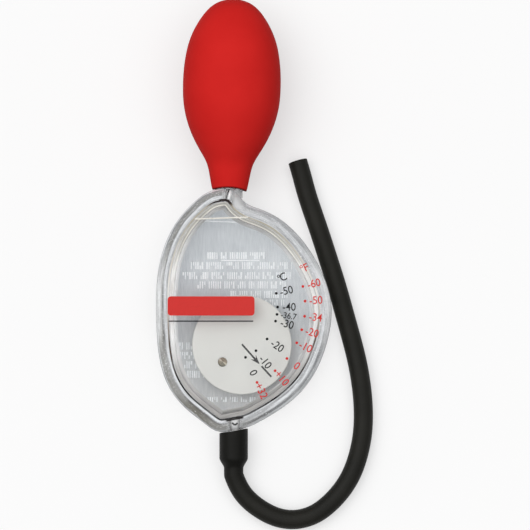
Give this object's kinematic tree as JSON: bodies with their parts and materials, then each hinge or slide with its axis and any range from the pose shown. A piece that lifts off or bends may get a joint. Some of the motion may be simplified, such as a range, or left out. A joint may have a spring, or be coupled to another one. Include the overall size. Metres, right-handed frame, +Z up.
{
  "type": "antifreeze tester",
  "caption": "Clear egg-shaped two-shell case with a pivoting disc float and freezing-point scales, a rubber squeeze bulb at the top and a rubber suction hose at the bottom.",
  "frame": {"origin": "centre of the footprint of the case and bulb on the surface the tester lies on, its hose left out", "axes": "+Y up the tester from hose to bulb, +X to the right as the dial is read, +Z up from the surface; the tester lies on its back with its dial up"},
  "size_m": [0.102, 0.248, 0.0465],
  "materials": {
    "clear_front": "clear, polished injection-moulded plastic with printed scales",
    "clear_rear": "clear injection-moulded plastic with a frosted grey back",
    "pin_plastic": "smooth translucent plastic",
    "float": "smooth ivory plastic",
    "ballast": "dull turned brass",
    "bulb": "soft satin red rubber",
    "hose": "satin black rubber"
  },
  "bodies": {
    "case": {"front_shell": "clear_front", "rear_shell": "clear_rear", "pivot_pin": "pin_plastic", "squeeze_bulb": "bulb", "hose_cuff": "hose", "hose": "hose"},
    "float": {"float_disc": "float", "ballast_pin_lower": "ballast", "ballast_pin_upper": "ballast"}
  },
  "joints": [
    {"name": "float_swing", "type": "hinge", "parent": "case", "child": "float", "pos_m": [-0.01095, -0.03653, 0.01394], "axis": [0, -0.0898, 0.996], "range_deg": [-26, 70]}
  ]
}
